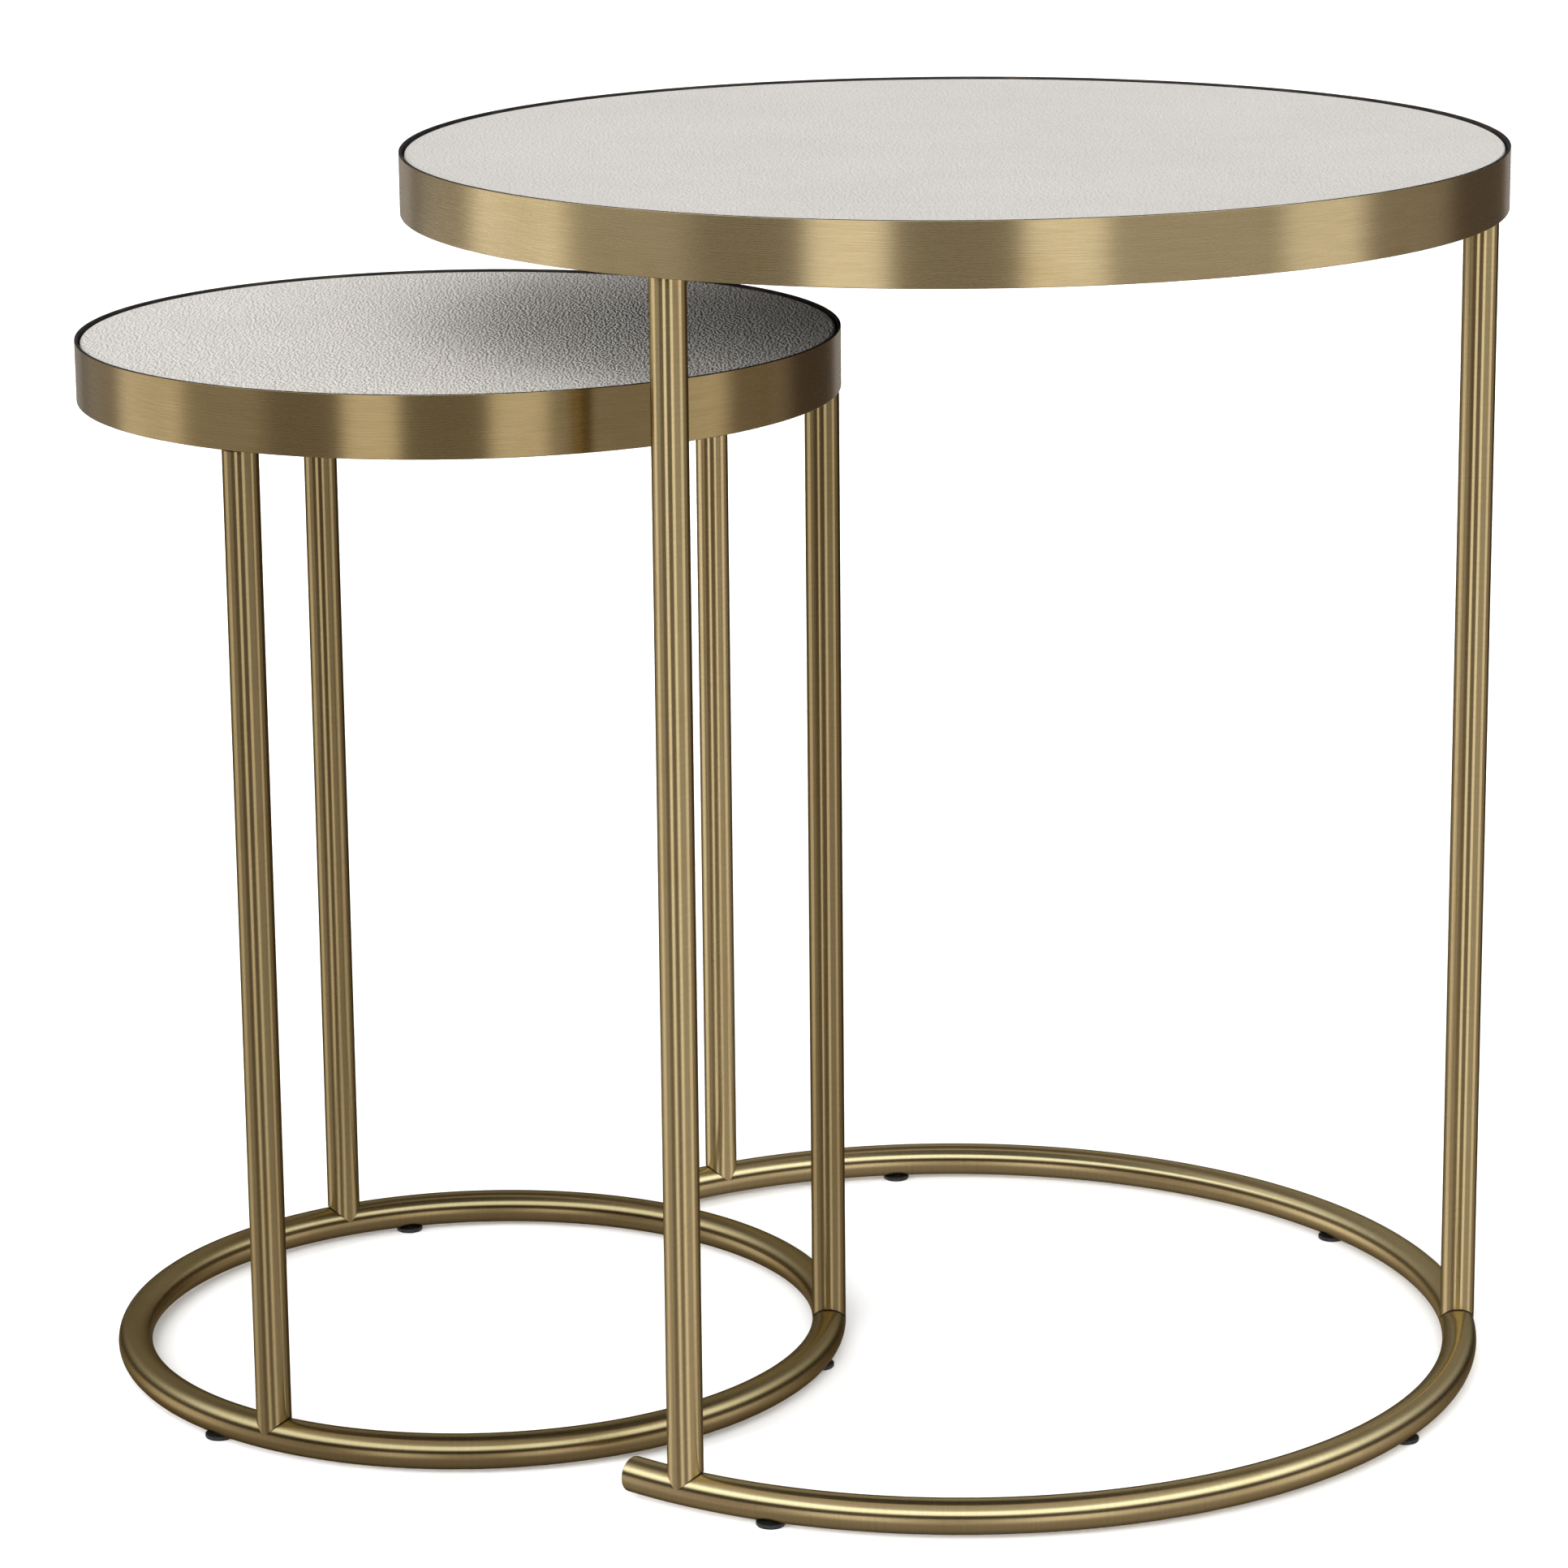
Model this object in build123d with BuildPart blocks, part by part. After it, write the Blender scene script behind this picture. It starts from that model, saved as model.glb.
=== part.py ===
from build123d import *

import os
from dataclasses import dataclass
from math import cos, degrees, radians, sin

# Two round nesting side tables, in millimetres.
# +Z is up and the floor is Z = 0. +X runs from the small table towards the large one, and the large
# table's base ring is open towards -X, where the small table slides in. The origin is on the floor, at
# the middle of the space that both tables take.

# Tube of the legs and of the base rings
TUBE_RADIUS = 8.0
TUBE_WALL = 1.5
BORE_RADIUS = TUBE_RADIUS - TUBE_WALL

# Glides under the base rings: a pad and a stem pressed into the ring's underside
GLIDE_LIFT = 2.0
GLIDE_RADIUS = 6.5
GLIDE_EDGE = 0.7
GLIDE_STEM_RADIUS = 2.5
GLIDE_STEM_TOP = 8.0
GLIDE_STEM_TAPER = 0.8
GLIDE_HOLE_RADIUS = GLIDE_STEM_RADIUS + 0.05
RING_Z = GLIDE_LIFT + TUBE_RADIUS

# Legs: three to a table, coped over the base ring
LEG_ANGLES = {"right": 0, "back": 120, "front": 240}
COPE_CLEARANCE = 0.02
COPE_ARC = 10
LEG_TIP_RISE = 1.0

# End caps of the open ring
CAP_THICKNESS = 1.5
CAP_EDGE = 0.7
CAP_SPIGOT_RADIUS = 6.2
CAP_SPIGOT_LENGTH = 8.0

# Rim: an upright band with an inturned flange along its bottom
BAND_HEIGHT = 28.0
RIM_WALL = 1.5
RIM_EDGE = 0.35
FLANGE_WIDTH = 24.0

# Panel: a core board with leather wrapped over its top and side
INLAY_RECESS = 1.0
INLAY_EDGE_GAP = 1.0
LEATHER = 1.2
LEATHER_ROUND = 1.1
LEATHER_SKIRT = 13.0
WRAP_CLEARANCE = 0.05

# M6 leg bolts: through the flange, down into a threaded insert in the leg
INSERT_RADIUS = BORE_RADIUS - 0.05
INSERT_LENGTH = 25.0
INSERT_CHAMFER = 0.6
BOLT_RADIUS = 3.0
BOLT_SHANK = 18.0
BOLT_HEAD_RADIUS = 5.25
BOLT_HEAD_HEIGHT = 3.3
BOLT_HEAD_ROUND = 1.2
HEX_KEY_SIZE = 4.0
HEX_KEY_DEPTH = 2.0
THREAD_CLEARANCE = 0.05
WASHER_RADIUS = 6.25
WASHER_HOLE_RADIUS = 3.2
WASHER_THICKNESS = 1.6
BOLT_HOLE_RADIUS = 3.3
POCKET_RADIUS = 9.0
POCKET_DEPTH = 9.0

# Pan-head screws: up through the flange into the core board
SCREW_COUNT = 6
SCREW_START_ANGLE = 30
SCREW_INSET = 19.0
SCREW_RADIUS = 2.0
SCREW_DEPTH = 14.0
SCREW_TIP = 1.5
SCREW_HEAD_RADIUS = 4.0
SCREW_HEAD_HEIGHT = 2.4
SCREW_HEAD_ROUND = 1.2
SCREW_HOLE_RADIUS = SCREW_RADIUS + 0.2
CROSS_WIDTH = 1.1
CROSS_LENGTH = 4.4
CROSS_DEPTH = 1.2
PILOT_RADIUS = SCREW_RADIUS + 0.05
PILOT_DEPTH = 16.0


@dataclass
class Table:
    """One table: its name, where its axis stands along X, its main sizes and its base ring."""

    name: str
    axis_x: float
    top_radius: float
    height: float
    ring_radius: float
    ring_end_angle: float
    glide_angles: tuple

    @property
    def rim_bottom(self):
        return self.height - BAND_HEIGHT

    @property
    def flange_top(self):
        return self.rim_bottom + RIM_WALL

    @property
    def inlay_top(self):
        return self.height - INLAY_RECESS

    @property
    def inlay_radius(self):
        return self.top_radius - RIM_WALL - INLAY_EDGE_GAP

    @property
    def board_radius(self):
        return self.inlay_radius - LEATHER - WRAP_CLEARANCE

    @property
    def board_top(self):
        return self.inlay_top - LEATHER

    @property
    def screw_circle_radius(self):
        return self.top_radius - SCREW_INSET

    @property
    def tube_end_angle(self):
        """Where the ring's tube stops: short of the ring's end by the cap, if it has one."""
        if self.ring_end_angle == 180:
            return 180
        return self.ring_end_angle - degrees(CAP_THICKNESS / self.ring_radius)

    @property
    def axis(self):
        return Axis((self.axis_x, 0, 0), (0, 0, 1))

    def level(self, z):
        """Horizontal plane at height z, centred on the table's axis."""
        return Plane(origin=(self.axis_x, 0, z))

    def section(self, angle):
        """Upright plane through the table's axis: x is outwards at this angle, and y is up."""
        outwards = (cos(radians(angle)), sin(radians(angle)), 0)
        across = (sin(radians(angle)), -cos(radians(angle)), 0)
        return Plane(origin=(self.axis_x, 0, 0), x_dir=outwards, z_dir=across)


LARGE_TOP_RADIUS = 250.0
SMALL_TOP_RADIUS = 174.5
AXIS_DISTANCE = 225.6
LARGE_AXIS_X = (AXIS_DISTANCE + SMALL_TOP_RADIUS - LARGE_TOP_RADIUS) / 2

large = Table(
    name="large",
    axis_x=LARGE_AXIS_X,
    top_radius=LARGE_TOP_RADIUS,
    height=575.0,
    ring_radius=239.0,
    ring_end_angle=127.0,
    glide_angles=(-110, -32, 37, 97),
)
small = Table(
    name="small",
    axis_x=LARGE_AXIS_X - AXIS_DISTANCE,
    top_radius=SMALL_TOP_RADIUS,
    height=491.0,
    ring_radius=165.5,
    ring_end_angle=180.0,
    glide_angles=(-132, -12, 108),
)


def save(sub_part, node):
    """Label a finished sub-part and write its STEP file."""
    sub_part.part.label = node
    export_step(sub_part.part, f"parts/{node}.step")


def make_base_ring(table):
    """Round tube bent to a ring, or to a C with its gap at -X, with holes below for the glides."""
    with BuildPart() as base_ring:
        with BuildSketch(table.section(-table.tube_end_angle)):
            with Locations((table.ring_radius, RING_Z)):
                Circle(TUBE_RADIUS)
                Circle(BORE_RADIUS, mode=Mode.SUBTRACT)
        revolve(axis=table.axis, revolution_arc=2 * table.tube_end_angle)
        with BuildSketch(table.level(0)):
            for angle in table.glide_angles:
                with PolarLocations(table.ring_radius, 1, angle):
                    Circle(GLIDE_HOLE_RADIUS)
        extrude(amount=RING_Z, mode=Mode.SUBTRACT)
    save(base_ring, f"{table.name}_base_ring")


def make_ring_cap(table, side, turn):
    """Plug for one end of the open ring (turn 1 or -1): a disc with a rounded edge, and a spigot."""
    angle = turn * radians(table.tube_end_angle)
    tube_end = Plane(
        origin=(table.axis_x + table.ring_radius * cos(angle), table.ring_radius * sin(angle), RING_Z),
        z_dir=(-turn * sin(angle), turn * cos(angle), 0),
    )
    with BuildPart() as ring_cap:
        with BuildSketch(tube_end):
            Circle(TUBE_RADIUS)
        extrude(amount=CAP_THICKNESS)
        outer_edges = ring_cap.faces().sort_by(Axis(tube_end.origin, tube_end.z_dir))[-1].edges()
        fillet(outer_edges, radius=CAP_EDGE)
        with BuildSketch(tube_end):
            Circle(CAP_SPIGOT_RADIUS)
        extrude(amount=-CAP_SPIGOT_LENGTH)
    save(ring_cap, f"{table.name}_ring_cap_{side}")


def make_leg(table, side, angle):
    """Upright tube from the base ring to the rim, its lower end cut to sit over the ring."""
    leg_bottom = RING_Z + LEG_TIP_RISE
    with BuildPart() as leg:
        with BuildSketch(table.level(leg_bottom)):
            with PolarLocations(table.ring_radius, 1, angle):
                Circle(TUBE_RADIUS)
                Circle(BORE_RADIUS, mode=Mode.SUBTRACT)
        extrude(amount=table.rim_bottom - leg_bottom)
        with BuildSketch(table.section(angle - COPE_ARC / 2)):
            with Locations((table.ring_radius, RING_Z)):
                Circle(TUBE_RADIUS + COPE_CLEARANCE)
        revolve(axis=table.axis, revolution_arc=COPE_ARC, mode=Mode.SUBTRACT)
    save(leg, f"{table.name}_leg_{side}")


def make_glide(table, number, angle):
    """Pad with a rounded lower edge, and a tapered stem that is pressed into the ring."""
    with BuildPart() as glide:
        with BuildSketch(table.level(0)):
            with PolarLocations(table.ring_radius, 1, angle):
                Circle(GLIDE_RADIUS)
        extrude(amount=GLIDE_LIFT)
        fillet(glide.edges().group_by(Axis.Z)[0], radius=GLIDE_EDGE)
        with BuildSketch(table.level(GLIDE_LIFT)):
            with PolarLocations(table.ring_radius, 1, angle):
                Circle(GLIDE_STEM_RADIUS)
        extrude(amount=GLIDE_STEM_TOP - GLIDE_LIFT)
        chamfer(glide.edges().group_by(Axis.Z)[-1], length=GLIDE_STEM_TAPER)
    save(glide, f"{table.name}_glide_{number}")


def make_leg_inserts(table):
    """Three plugs in the leg tops, bored for the bolts."""
    with BuildPart() as leg_inserts:
        with BuildSketch(table.level(table.rim_bottom)):
            with PolarLocations(table.ring_radius, len(LEG_ANGLES)):
                Circle(INSERT_RADIUS)
        extrude(amount=-INSERT_LENGTH)
        chamfer(leg_inserts.edges().group_by(Axis.Z)[0], length=INSERT_CHAMFER)
        with BuildSketch(table.level(table.rim_bottom)):
            with PolarLocations(table.ring_radius, len(LEG_ANGLES)):
                Circle(BOLT_RADIUS + THREAD_CLEARANCE)
        extrude(amount=-INSERT_LENGTH, mode=Mode.SUBTRACT)
    save(leg_inserts, f"{table.name}_leg_inserts")


def make_leg_washers(table):
    """Three washers on the flange, under the bolt heads."""
    with BuildPart() as leg_washers:
        with BuildSketch(table.level(table.flange_top)):
            with PolarLocations(table.ring_radius, len(LEG_ANGLES)):
                Circle(WASHER_RADIUS)
                Circle(WASHER_HOLE_RADIUS, mode=Mode.SUBTRACT)
        extrude(amount=WASHER_THICKNESS)
    save(leg_washers, f"{table.name}_leg_washers")


def make_leg_bolts(table):
    """Three button-head bolts, from the washers down into the inserts."""
    head_bottom = table.flange_top + WASHER_THICKNESS
    head_top = head_bottom + BOLT_HEAD_HEIGHT
    with BuildPart() as leg_bolts:
        with BuildSketch(table.level(head_bottom)):
            with PolarLocations(table.ring_radius, len(LEG_ANGLES)):
                Circle(BOLT_HEAD_RADIUS)
        extrude(amount=BOLT_HEAD_HEIGHT)
        fillet(leg_bolts.edges().group_by(Axis.Z)[-1], radius=BOLT_HEAD_ROUND)
        with BuildSketch(table.level(head_bottom)):
            with PolarLocations(table.ring_radius, len(LEG_ANGLES)):
                Circle(BOLT_RADIUS)
        extrude(amount=-BOLT_SHANK)
        with BuildSketch(table.level(head_top)):
            with PolarLocations(table.ring_radius, len(LEG_ANGLES)):
                RegularPolygon(HEX_KEY_SIZE / 2, 6, major_radius=False)
        extrude(amount=-HEX_KEY_DEPTH, mode=Mode.SUBTRACT)
    save(leg_bolts, f"{table.name}_leg_bolts")


def make_rim(table):
    """Band and flange as one welded ring, drilled for the leg bolts and the panel screws."""
    with BuildPart() as rim:
        with BuildSketch(table.section(0)):
            with Locations((table.top_radius, table.rim_bottom)):
                Rectangle(RIM_WALL, BAND_HEIGHT, align=(Align.MAX, Align.MIN))
                Rectangle(FLANGE_WIDTH, RIM_WALL, align=(Align.MAX, Align.MIN))
        revolve(axis=table.axis)
        outer_edges = rim.edges().filter_by(
            lambda edge: edge.geom_type == GeomType.CIRCLE and edge.radius > table.top_radius - 2 * RIM_WALL
        )
        fillet(outer_edges.group_by(Axis.Z)[-1], radius=RIM_EDGE)
        fillet(outer_edges.group_by(Axis.Z)[0], radius=RIM_EDGE)
        with BuildSketch(table.level(table.rim_bottom)):
            with PolarLocations(table.ring_radius, len(LEG_ANGLES)):
                Circle(BOLT_HOLE_RADIUS)
            with PolarLocations(table.screw_circle_radius, SCREW_COUNT, SCREW_START_ANGLE):
                Circle(SCREW_HOLE_RADIUS)
        extrude(amount=RIM_WALL, mode=Mode.SUBTRACT)
    save(rim, f"{table.name}_rim")


def make_core_board(table):
    """Disc on the flange, with pockets over the bolt heads and pilot holes for the screws."""
    with BuildPart() as core_board:
        with BuildSketch(table.level(table.flange_top)):
            Circle(table.board_radius)
        extrude(amount=table.board_top - table.flange_top)
        with BuildSketch(table.level(table.flange_top)):
            with PolarLocations(table.ring_radius, len(LEG_ANGLES)):
                Circle(POCKET_RADIUS)
        extrude(amount=POCKET_DEPTH, mode=Mode.SUBTRACT)
        with BuildSketch(table.level(table.flange_top)):
            with PolarLocations(table.screw_circle_radius, SCREW_COUNT, SCREW_START_ANGLE):
                Circle(PILOT_RADIUS)
        extrude(amount=PILOT_DEPTH, mode=Mode.SUBTRACT)
    save(core_board, f"{table.name}_core_board")


def make_leather_inlay(table):
    """Leather over the board: a flat top with a rounded edge, and a skirt down the board's side."""
    with BuildPart() as leather_inlay:
        with BuildSketch(table.level(table.inlay_top)):
            Circle(table.inlay_radius)
        extrude(amount=-LEATHER_SKIRT)
        fillet(leather_inlay.edges().group_by(Axis.Z)[-1], radius=LEATHER_ROUND)
        with BuildSketch(table.level(table.board_top)):
            Circle(table.inlay_radius - LEATHER)
        extrude(amount=-LEATHER_SKIRT, mode=Mode.SUBTRACT)
    save(leather_inlay, f"{table.name}_leather_inlay")


def make_panel_screws(table):
    """Pan-head screws with a cross recess, up through the flange into the board."""
    head_bottom = table.rim_bottom - SCREW_HEAD_HEIGHT
    shank_length = RIM_WALL + SCREW_DEPTH
    with BuildPart() as panel_screws:
        with BuildSketch(table.level(table.rim_bottom)):
            with PolarLocations(table.screw_circle_radius, SCREW_COUNT, SCREW_START_ANGLE):
                Circle(SCREW_HEAD_RADIUS)
        extrude(amount=-SCREW_HEAD_HEIGHT)
        fillet(panel_screws.edges().group_by(Axis.Z)[0], radius=SCREW_HEAD_ROUND)
        with BuildSketch(table.level(table.rim_bottom)):
            with PolarLocations(table.screw_circle_radius, SCREW_COUNT, SCREW_START_ANGLE):
                Circle(SCREW_RADIUS)
        extrude(amount=shank_length)
        chamfer(panel_screws.edges().group_by(Axis.Z)[-1], length=SCREW_TIP)
        with BuildSketch(table.level(head_bottom)):
            with PolarLocations(table.screw_circle_radius, SCREW_COUNT, SCREW_START_ANGLE):
                Rectangle(CROSS_LENGTH, CROSS_WIDTH)
                Rectangle(CROSS_WIDTH, CROSS_LENGTH)
        extrude(amount=CROSS_DEPTH, mode=Mode.SUBTRACT)
    save(panel_screws, f"{table.name}_panel_screws")


os.makedirs("parts", exist_ok=True)

for nesting_table in (large, small):
    make_base_ring(nesting_table)
    for leg_side, leg_angle in LEG_ANGLES.items():
        make_leg(nesting_table, leg_side, leg_angle)
    for glide_number, glide_angle in enumerate(nesting_table.glide_angles, start=1):
        make_glide(nesting_table, glide_number, glide_angle)
    make_leg_inserts(nesting_table)
    make_leg_washers(nesting_table)
    make_leg_bolts(nesting_table)
    make_rim(nesting_table)
    make_core_board(nesting_table)
    make_leather_inlay(nesting_table)
    make_panel_screws(nesting_table)

make_ring_cap(large, "front", turn=-1)
make_ring_cap(large, "back", turn=1)
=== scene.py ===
from math import acos, cos, hypot, pi, radians, sin, sqrt, tan

import bmesh
import bpy
from mathutils import Matrix, Vector


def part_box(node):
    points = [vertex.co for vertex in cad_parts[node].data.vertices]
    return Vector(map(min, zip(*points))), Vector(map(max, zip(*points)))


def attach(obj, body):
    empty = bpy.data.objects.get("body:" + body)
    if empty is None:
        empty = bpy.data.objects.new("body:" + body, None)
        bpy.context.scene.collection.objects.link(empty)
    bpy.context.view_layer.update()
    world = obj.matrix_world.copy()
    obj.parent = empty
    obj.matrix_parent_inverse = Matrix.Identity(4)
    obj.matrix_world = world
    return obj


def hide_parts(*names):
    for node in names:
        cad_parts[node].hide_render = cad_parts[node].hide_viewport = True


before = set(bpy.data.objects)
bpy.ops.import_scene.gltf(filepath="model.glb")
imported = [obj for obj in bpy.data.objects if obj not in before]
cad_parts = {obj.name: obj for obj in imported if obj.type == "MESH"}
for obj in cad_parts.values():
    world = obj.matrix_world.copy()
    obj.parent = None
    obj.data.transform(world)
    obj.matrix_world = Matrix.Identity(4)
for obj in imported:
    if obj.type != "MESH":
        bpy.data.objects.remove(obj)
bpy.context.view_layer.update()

MM = 0.001

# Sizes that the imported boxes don't give, in metres
RIM_EDGE = 0.35 * MM
FLANGE_WIDTH = 24 * MM
TUBE_WALL = 1.5 * MM
COPE_GAP = 0.02 * MM
SEAM = 0.6 * MM
CAP_THICKNESS = 1.5 * MM
CAP_EDGE = 0.7 * MM
CAP_SPIGOT_RADIUS = 6.2 * MM
CAP_SPIGOT_LENGTH = 8 * MM
LEATHER = 1.2 * MM
LEATHER_ROUND = 1.1 * MM
GLIDE_EDGE = 0.8 * MM
GLIDE_STEM_RADIUS = 2.5 * MM

# How finely round shapes are cut, how far apart a leg's rows of points are, and how far beside a
# rounded corner its supporting points lie
TOP_STEPS = 256
TUBE_STEPS = 64
RING_STEP = radians(1.5)
SMALL_STEPS = 48
ARC_STEPS = 5
LEG_ROW = 30 * MM
SUPPORT = 0.06 * MM

# Points nearer than this are one point, edges sharper than this stay sharp, and a ring whose half
# angle is this near to pi is closed
WELD = 1e-7
SHARP = radians(40)
CLOSED = 0.001

# Where the legs stand round their table's axis, in degrees from +X
LEG_ANGLES = {"right": 0, "back": 120, "front": 240}


class Table:
    """Sizes of one table, in metres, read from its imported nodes."""

    def __init__(self, name):
        rim_low, rim_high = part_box(f"{name}_rim")
        board_low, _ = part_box(f"{name}_core_board")
        inlay_low, inlay_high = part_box(f"{name}_leather_inlay")
        leg_low, leg_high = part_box(f"{name}_leg_right")
        ring_low, ring_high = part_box(f"{name}_base_ring")
        self.name = name
        self.body = f"{name}_table"
        self.top_radius = (rim_high.y - rim_low.y) / 2
        self.axis_x = rim_high.x - self.top_radius
        self.rim_bottom = rim_low.z
        self.rim_top = rim_high.z
        self.rim_wall = board_low.z - rim_low.z
        self.inlay_radius = (inlay_high.y - inlay_low.y) / 2
        self.inlay_top = inlay_high.z
        self.inlay_bottom = inlay_low.z
        self.tube_radius = (leg_high.x - leg_low.x) / 2
        self.ring_radius = (leg_low.x + leg_high.x) / 2 - self.axis_x
        self.ring_z = (ring_low.z + ring_high.z) / 2
        self.leg_bottom = leg_low.z
        reach = (ring_low.x - self.axis_x) / (self.ring_radius + self.tube_radius)
        self.tube_end = acos(max(reach, -1.0))
        self.glides = sorted(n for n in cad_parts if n.startswith(f"{name}_glide"))

    def on_ring(self, angle, z=0.0):
        """The point over the base ring's centre line at this angle, in radians."""
        x = self.axis_x + self.ring_radius * cos(angle)
        return Vector((x, self.ring_radius * sin(angle), z))


large = Table("large")
small = Table("small")


# ---------------------------------------------------------------- mesh building


def rounded(points, radii):
    """A closed outline with its corners rounded.

    A supporting point close beside each end of an arc keeps the flats looking flat.
    """
    outline = []
    for index, (corner, radius) in enumerate(zip(points, radii)):
        corner = Vector(corner)
        before = (Vector(points[index - 1]) - corner).normalized()
        after = (Vector(points[(index + 1) % len(points)]) - corner).normalized()
        if radius == 0:
            outline.append(corner)
            continue
        half = before.angle(after) / 2
        reach = radius / tan(half)
        centre = corner + (before + after).normalized() * hypot(reach, radius)
        start = corner + before * reach
        end = corner + after * reach
        outline.append(start + before * SUPPORT)
        for step in range(ARC_STEPS + 1):
            share = step / ARC_STEPS
            spoke = (start - centre).lerp(end - centre, share).normalized()
            outline.append(centre + spoke * radius)
        outline.append(end + after * SUPPORT)
    return outline


def new_piece(name, vertices, faces, face_uvs, place, table, node, slot, material):
    """A smooth closed mesh piece with a brush UV map, standing for a CAD node and riding on its body."""
    mesh = bpy.data.meshes.new(name)
    mesh.from_pydata(vertices, [], faces)
    layer = mesh.uv_layers.new(name="brush")
    for polygon, uvs in zip(mesh.polygons, face_uvs):
        for loop_index, uv in zip(polygon.loop_indices, uvs):
            layer.data[loop_index].uv = uv
    work = bmesh.new()
    work.from_mesh(mesh)
    bmesh.ops.remove_doubles(work, verts=work.verts, dist=WELD)
    bmesh.ops.recalc_face_normals(work, faces=work.faces)
    work.to_mesh(mesh)
    work.free()
    for polygon in mesh.polygons:
        polygon.use_smooth = True
    mesh.set_sharp_from_angle(angle=SHARP)
    mesh.materials.append(material)
    piece = bpy.data.objects.new(name, mesh)
    bpy.context.scene.collection.objects.link(piece)
    piece.matrix_world = place
    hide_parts(node)
    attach(piece, table.body)
    return piece


def uv_square(left, right, low, high):
    """The UVs of a face's four corners, in the order in which the faces below list them."""
    return ((left, low), (right, low), (right, high), (left, high))


def lathe(outline_at, steps):
    """Vertices, faces and UVs of a closed outline of (radius, height) turned about Z.

    outline_at(angle) gives the outline, so that an end can be cut to a curved surface. U runs once
    round the axis, and V is the distance along the outline, in metres.
    """
    columns = [outline_at(2 * pi * step / steps) for step in range(steps)]
    count = len(columns[0])
    vertices = [
        (radius * cos(2 * pi * step / steps), radius * sin(2 * pi * step / steps), height)
        for step, column in enumerate(columns)
        for radius, height in column
    ]
    along = [0.0]
    for index in range(count):
        a, b = Vector(columns[0][index]), Vector(columns[0][(index + 1) % count])
        along.append(along[-1] + (b - a).length)
    faces, face_uvs = [], []
    for step in range(steps):
        here, there = step * count, (step + 1) % steps * count
        left, right = step / steps, (step + 1) / steps
        for index in range(count):
            upper = (index + 1) % count
            faces.append((here + index, there + index, there + upper, here + upper))
            face_uvs.append(uv_square(left, right, along[index], along[index + 1]))
    return vertices, faces, face_uvs


def bent_tube(ring_radius, radii, end_angle):
    """Vertices, faces and UVs of a tube bent about Z, from -end_angle to end_angle.

    radii are the outer and the bore radius. U runs round the tube, and V is the distance along it.
    A tube that doesn't go all the way round gets end faces over its wall.
    """
    closed = end_angle > pi - CLOSED
    steps = round(2 * end_angle / RING_STEP)
    rows = steps if closed else steps + 1
    vertices, faces, face_uvs = [], [], []
    for radius in radii:
        for row in range(rows):
            angle = -end_angle + 2 * end_angle * row / steps
            for spoke in range(TUBE_STEPS):
                around = 2 * pi * spoke / TUBE_STEPS
                reach = ring_radius + radius * cos(around)
                vertices.append((reach * cos(angle), reach * sin(angle), radius * sin(around)))

    def strip(here, there, low, high):
        """Faces from one row of points to another, with V from low to high."""
        for spoke in range(TUBE_STEPS):
            beside = (spoke + 1) % TUBE_STEPS
            faces.append((here + spoke, here + beside, there + beside, there + spoke))
            face_uvs.append(uv_square(spoke / TUBE_STEPS, (spoke + 1) / TUBE_STEPS, low, high))

    bore = rows * TUBE_STEPS
    for layer in (0, bore):
        for row in range(steps):
            low = 2 * end_angle * ring_radius * row / steps
            high = 2 * end_angle * ring_radius * (row + 1) / steps
            strip(layer + row * TUBE_STEPS, layer + (row + 1) % rows * TUBE_STEPS, low, high)
    if not closed:
        for end in (0, steps * TUBE_STEPS):
            strip(end, bore + end, 0, TUBE_WALL)
    return vertices, faces, face_uvs


# ---------------------------------------------------------------- nodes


def add(tree, kind, inputs=None, **settings):
    """A new node with its settings and inputs. An input is a value or another node's output."""
    node = tree.nodes.new(kind)
    for key, value in settings.items():
        setattr(node, key, value)
    for key, value in (inputs or {}).items():
        if isinstance(value, bpy.types.NodeSocket):
            tree.links.new(value, node.inputs[key])
        else:
            node.inputs[key].default_value = value
    return node


def calc(tree, operation, *values):
    """One arithmetic step, such as MULTIPLY, on values or other nodes' outputs."""
    return add(tree, "ShaderNodeMath", dict(enumerate(values)), operation=operation).outputs[0]


def remap(tree, value, start, end, low=0.0, high=1.0, kind="SMOOTHSTEP"):
    """Runs from low to high while value runs from start to end, and stays there outside them."""
    inputs = {"Value": value, "From Min": start, "From Max": end, "To Min": low, "To Max": high}
    return add(tree, "ShaderNodeMapRange", inputs, interpolation_type=kind).outputs["Result"]


def mix(tree, factor, first, second, blend="MIX"):
    """The first colour with this share of the second mixed or blended in."""
    inputs = {0: factor, 6: first, 7: second}
    return add(tree, "ShaderNodeMix", inputs, data_type="RGBA", blend_type=blend).outputs[2]


def noise(tree, vector, scale, detail=3.0, roughness=0.55):
    inputs = {"Vector": vector, "Scale": scale, "Detail": detail, "Roughness": roughness}
    return add(tree, "ShaderNodeTexNoise", inputs).outputs["Fac"]


def piece_space(tree):
    """The place in the piece's own space, in metres."""
    return add(tree, "ShaderNodeTexCoord").outputs["Object"]


def stretched(tree, vector, scale):
    return add(tree, "ShaderNodeMapping", {"Vector": vector, "Scale": scale}).outputs["Vector"]


def bumped(tree, height, distance, strength=0.3):
    """The normal of a surface whose relief is distance deep."""
    inputs = {"Strength": strength, "Distance": distance, "Height": height}
    return add(tree, "ShaderNodeBump", inputs).outputs["Normal"]


def new_material(name):
    """A material with an empty Principled shader: (material, its tree, its shader)."""
    material = bpy.data.materials.new(name)
    material.use_nodes = True
    return material, material.node_tree, material.node_tree.nodes["Principled BSDF"]


def join(tree, shader, **links):
    """Links outputs to the shader's inputs, as in Base_Color=colour."""
    for name, output in links.items():
        tree.links.new(output, shader.inputs[name.replace("_", " ")])


# ---------------------------------------------------------------- materials

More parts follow.
